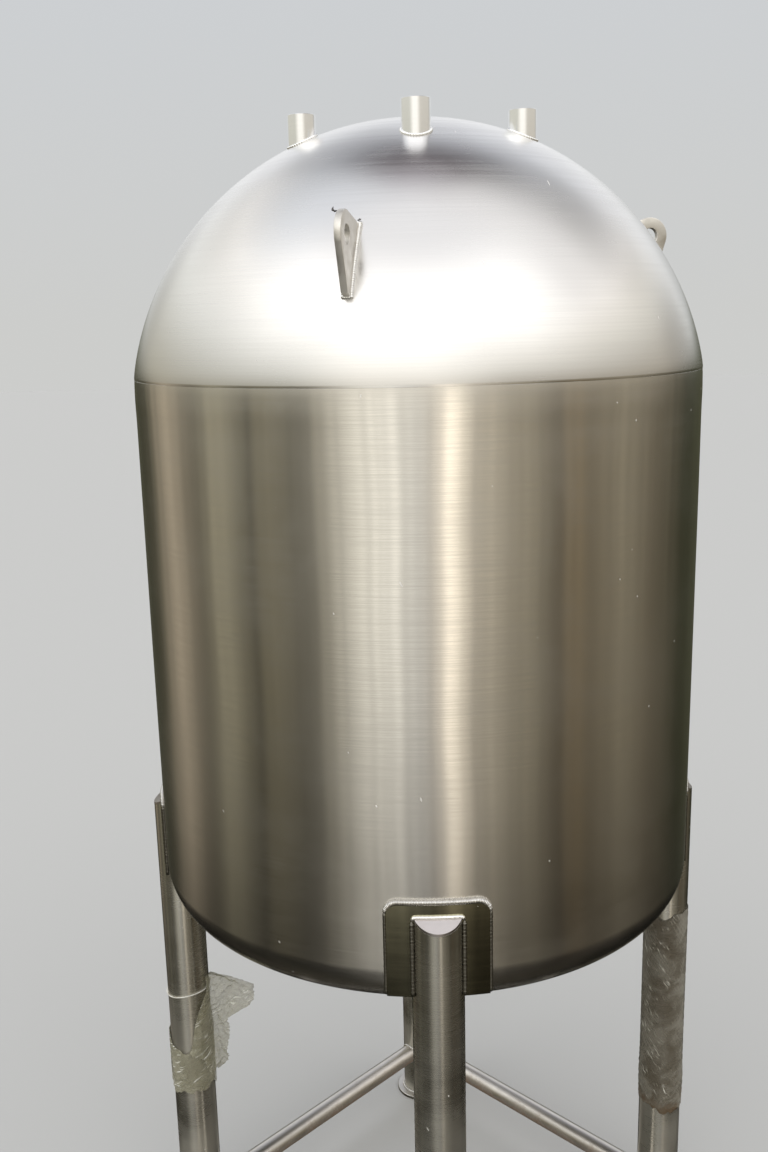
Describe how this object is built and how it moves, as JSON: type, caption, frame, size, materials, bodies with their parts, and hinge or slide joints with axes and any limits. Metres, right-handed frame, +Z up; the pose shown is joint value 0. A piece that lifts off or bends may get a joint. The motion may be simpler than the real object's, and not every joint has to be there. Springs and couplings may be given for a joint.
{
  "type": "vertical storage tank",
  "caption": "Upright satin stainless vessel with a deep domed head, dished bottom, pipe stubs and lifting lugs on top, standing on braced tube legs",
  "frame": {"origin": "On the vessel's axis at floor level, under the middle of the legs", "axes": "+Z is up along the vessel's axis, -Y is the front with the front leg, and +X is the right-hand leg seen from the front"},
  "size_m": [0.9978, 0.9978, 2.0731],
  "materials": {
    "satin_stainless": "satin, brushed round the shell",
    "polished_stainless": "bright rolled plate",
    "pipe_stainless": "polished tube and cut plate",
    "weld_stainless": "rippled weld bead",
    "clear_film": "thin clear crinkled film, dirty at its lower edge",
    "white_tie": "thin white cord"
  },
  "bodies": {
    "root": {"shell": "satin_stainless", "top_head": "satin_stainless", "bottom_head": "satin_stainless", "nozzle_left": "pipe_stainless", "nozzle_weld_left": "weld_stainless", "nozzle_front": "pipe_stainless", "nozzle_weld_front": "weld_stainless", "nozzle_right": "pipe_stainless", "nozzle_weld_right": "weld_stainless", "lifting_lug_front": "pipe_stainless", "lifting_lug_right": "pipe_stainless", "lifting_lug_rear": "pipe_stainless", "leg_front": "pipe_stainless", "leg_pad_front": "polished_stainless", "leg_cap_front": "satin_stainless", "leg_foot_front": "pipe_stainless", "leg_right": "pipe_stainless", "leg_pad_right": "polished_stainless", "leg_cap_right": "satin_stainless", "leg_foot_right": "pipe_stainless", "leg_back": "pipe_stainless", "leg_pad_back": "polished_stainless", "leg_cap_back": "satin_stainless", "leg_foot_back": "pipe_stainless", "leg_left": "pipe_stainless", "leg_pad_left": "polished_stainless", "leg_cap_left": "satin_stainless", "leg_foot_left": "pipe_stainless", "brace_front_right": "pipe_stainless", "brace_right_back": "pipe_stainless", "brace_back_left": "pipe_stainless", "brace_left_front": "pipe_stainless", "film_wrap_left": "clear_film", "film_wrap_right": "clear_film", "leg_tie_left": "white_tie"}
  },
  "joints": []
}
